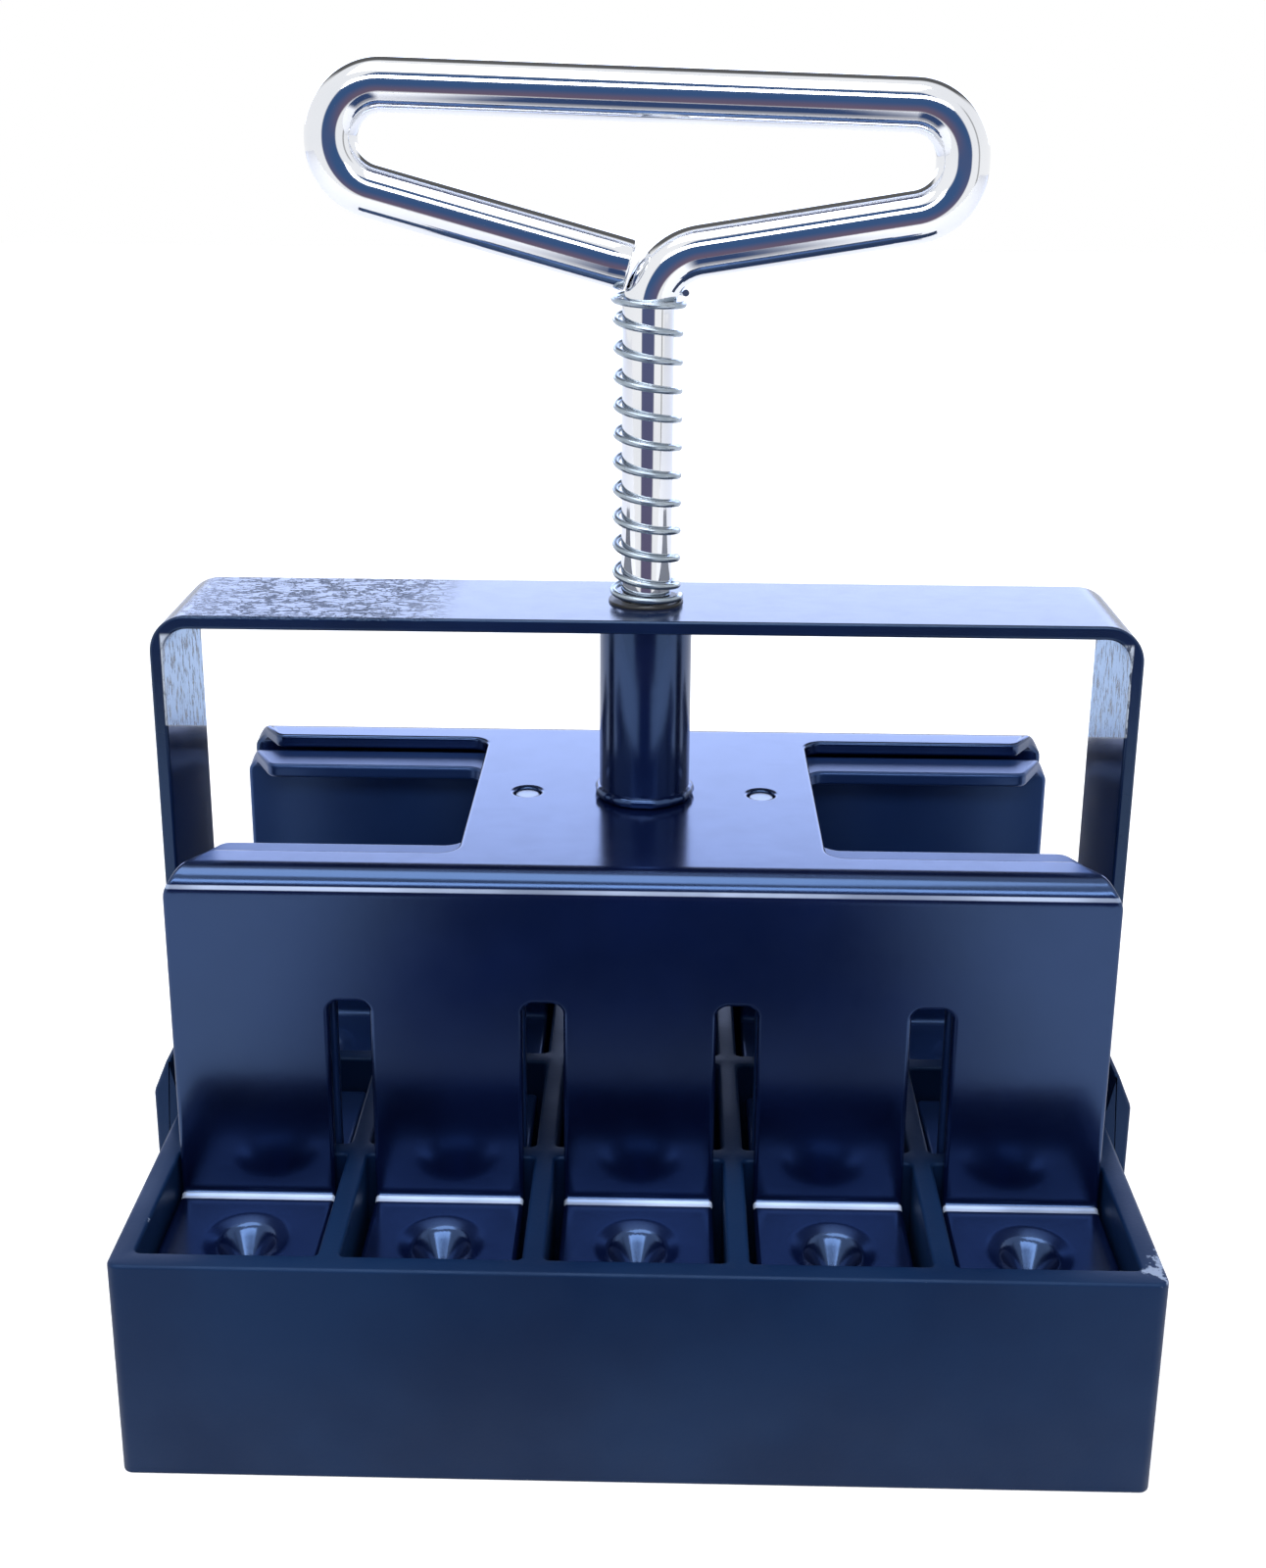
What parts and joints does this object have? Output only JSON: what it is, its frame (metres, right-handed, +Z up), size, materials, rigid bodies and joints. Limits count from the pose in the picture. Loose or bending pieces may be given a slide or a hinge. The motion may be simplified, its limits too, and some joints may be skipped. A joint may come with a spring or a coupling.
{
  "type": "soil blocker",
  "caption": "Hand-held press that forms small cubes of compost: an open moulded cell block, a steel strap, and a sprung bent-rod plunger with two nested sheet ejectors.",
  "frame": {"origin": "centre of the bounding box at its base, in the middle of the cell block's bottom rim", "axes": "+Z up along the plunger, +X to the right along the wide side of the cell block, +Y towards the back"},
  "size_m": [0.1202, 0.0908, 0.1499],
  "materials": {
    "moulded_block": "fine matte mould texture, dark navy",
    "coated_strap": "gloss powder coat, dark navy",
    "coated_ejector": "gloss powder coat, dark navy",
    "coated_tube": "gloss powder coat, dark navy",
    "bush_nylon": "black nylon",
    "chromed_bar": "bright chrome plate",
    "spring_steel": "zinc plated spring wire",
    "zinc_fastener": "zinc plate"
  },
  "bodies": {
    "frame": {"cell_block": "moulded_block", "frame_strap": "coated_strap", "guide_bush": "bush_nylon", "return_spring": "spring_steel"},
    "plunger": {"handle_rod": "chromed_bar", "spacer_tube": "coated_tube", "outer_ejector": "coated_ejector", "inner_ejector": "coated_ejector", "rod_washer": "zinc_fastener", "rod_nut": "zinc_fastener"}
  },
  "joints": [
    {"name": "plunger_slide", "type": "slide", "parent": "frame", "child": "plunger", "axis": [0, 0, -1], "range_m": [0, 0.02], "stiffness_N_per_m": 600, "springref_m": -0.012, "deforming": ["return_spring"]}
  ]
}
